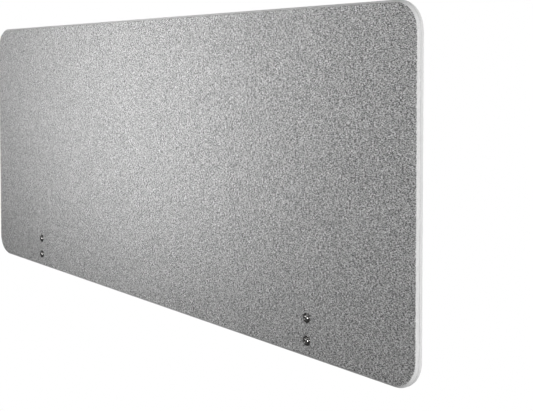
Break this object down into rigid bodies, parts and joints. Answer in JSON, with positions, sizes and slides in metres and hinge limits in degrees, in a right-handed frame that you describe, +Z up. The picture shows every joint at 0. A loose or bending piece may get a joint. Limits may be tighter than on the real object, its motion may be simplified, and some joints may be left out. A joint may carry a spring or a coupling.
{
  "type": "desk privacy panel",
  "caption": "Rectangular felt privacy panel with rounded corners and bevelled edges, held on a desktop's rear edge by screw clamps with turning knobs.",
  "frame": {"origin": "where the desktop's top surface meets its rear edge face, midway along the panel", "axes": "+X along the panel, to the right as seen from its outer face; +Y from the panel towards the desk; +Z up"},
  "size_m": [1.524, 0.0753, 0.6223],
  "materials": {
    "face_fabric": "heathered felt facing, matte",
    "edge_felt": "pressed felt, cut edge, matte",
    "bond_film": "matte",
    "bracket_steel": "fine-texture powder coat, satin",
    "foot_steel": "zinc plated, satin",
    "bright_steel": "nickel plated, polished",
    "pad_rubber": "matte",
    "knob_plastic": "fine texture, matte"
  },
  "bodies": {
    "panel_and_brackets": {"outer_fabric": "face_fabric", "outer_board": "edge_felt", "outer_bond_film": "bond_film", "felt_core": "edge_felt", "inner_bond_film": "bond_film", "inner_board": "edge_felt", "inner_fabric": "face_fabric", "left_bracket_plate": "bracket_steel", "left_top_jaw": "bracket_steel", "left_jaw_pad": "pad_rubber", "left_edge_pad": "pad_rubber", "left_panel_screws": "bright_steel", "left_panel_washers": "bright_steel", "right_bracket_plate": "bracket_steel", "right_top_jaw": "bracket_steel", "right_jaw_pad": "pad_rubber", "right_edge_pad": "pad_rubber", "right_panel_screws": "bright_steel", "right_panel_washers": "bright_steel"},
    "left_foot": {"left_clamp_foot": "foot_steel", "left_foot_pad": "pad_rubber"},
    "left_spindle": {"left_clamp_spindle": "foot_steel", "left_clamp_knob": "knob_plastic"},
    "right_foot": {"right_clamp_foot": "foot_steel", "right_foot_pad": "pad_rubber"},
    "right_spindle": {"right_clamp_spindle": "foot_steel", "right_clamp_knob": "knob_plastic"}
  },
  "joints": [
    {"name": "left_foot_slide", "type": "slide", "parent": "panel_and_brackets", "child": "left_foot", "axis": [0, 0, 1], "range_m": [-0.0106, 0.0074]},
    {"name": "left_knob_turn", "type": "hinge", "parent": "left_foot", "child": "left_spindle", "pos_m": [-0.508, 0.03, -0.047], "axis": [0, 0, 1], "range_deg": [-3052.8, 2131.2]},
    {"name": "right_foot_slide", "type": "slide", "parent": "panel_and_brackets", "child": "right_foot", "axis": [0, 0, 1], "range_m": [-0.0106, 0.0074]},
    {"name": "right_knob_turn", "type": "hinge", "parent": "right_foot", "child": "right_spindle", "pos_m": [0.508, 0.03, -0.047], "axis": [0, 0, 1], "range_deg": [-3052.8, 2131.2]}
  ],
  "couplings": [
    {"joint": "left_knob_turn", "follows": "left_foot_slide", "rad_per_m": 5026.5},
    {"joint": "right_knob_turn", "follows": "right_foot_slide", "rad_per_m": 5026.5}
  ]
}
